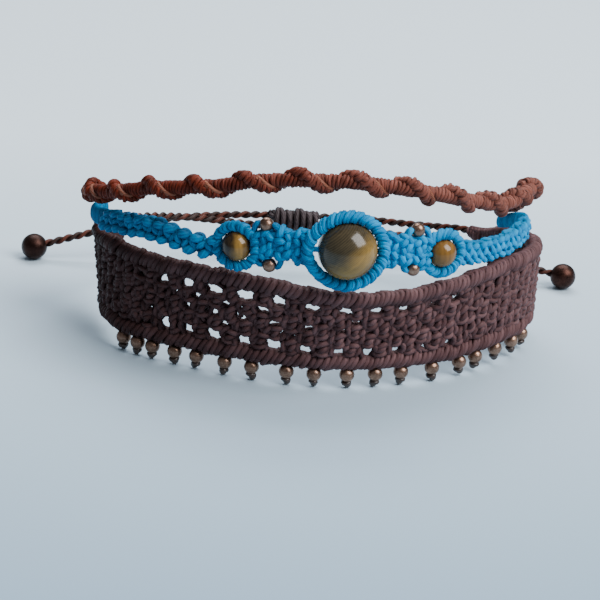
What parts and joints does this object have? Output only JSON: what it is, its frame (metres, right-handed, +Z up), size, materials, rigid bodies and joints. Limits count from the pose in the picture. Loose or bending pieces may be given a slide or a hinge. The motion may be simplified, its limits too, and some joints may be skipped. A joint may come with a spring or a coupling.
{
  "type": "macrame bracelet",
  "caption": "Multi-row knotted macrame bracelet: pierced lace band with beaded fringe, stone-set middle strand, spiral upper strand and sliding-knot cord closure.",
  "frame": {"origin": "centre of the oval at table level, in the middle of the wrist opening", "axes": "+X to the right as the front is looked at, +Y from the front towards the sliding knot behind, +Z up through the wrist opening"},
  "size_m": [0.0869, 0.0571, 0.0325],
  "materials": {
    "dark_thread": "waxed polyester thread, tightly knotted, dark brown",
    "chestnut_thread": "waxed polyester thread, tightly knotted, chestnut",
    "blue_thread": "waxed polyester thread, tightly knotted, turquoise blue",
    "twisted_cord": "two-ply cord of chestnut and dark thread",
    "copper_bead": "aged copper, satin",
    "tail_bead": "darkened copper, satin",
    "stone_left": "polished banded stone, half dark and half gold",
    "stone_middle": "polished banded stone, olive brown with fine silky lines",
    "stone_right": "polished banded stone, honey brown"
  },
  "bodies": {
    "root": {"lace_band": "dark_thread", "upper_strand": "chestnut_thread", "middle_strand": "blue_thread", "stone_left": "stone_left", "stone_middle": "stone_middle", "stone_right": "stone_right", "accent_bead_1": "copper_bead", "accent_bead_2": "copper_bead", "accent_bead_3": "copper_bead", "accent_bead_4": "copper_bead", "fringe_threads": "dark_thread", "fringe_bead_01": "copper_bead", "fringe_bead_02": "copper_bead", "fringe_bead_03": "copper_bead", "fringe_bead_04": "copper_bead", "fringe_bead_05": "copper_bead", "fringe_bead_06": "copper_bead", "fringe_bead_07": "copper_bead", "fringe_bead_08": "copper_bead", "fringe_bead_09": "copper_bead", "fringe_bead_10": "copper_bead", "fringe_bead_11": "copper_bead", "fringe_bead_12": "copper_bead", "fringe_bead_13": "copper_bead", "fringe_bead_14": "copper_bead", "fringe_bead_15": "copper_bead", "fringe_bead_16": "copper_bead", "fringe_bead_17": "copper_bead", "fringe_bead_18": "copper_bead", "sliding_knot": "dark_thread", "tie_cord_left": "twisted_cord", "tie_cord_right": "twisted_cord", "tail_cord_left": "twisted_cord", "tail_cord_right": "twisted_cord", "tail_bead_left": "tail_bead", "tail_bead_right": "tail_bead"}
  },
  "joints": []
}
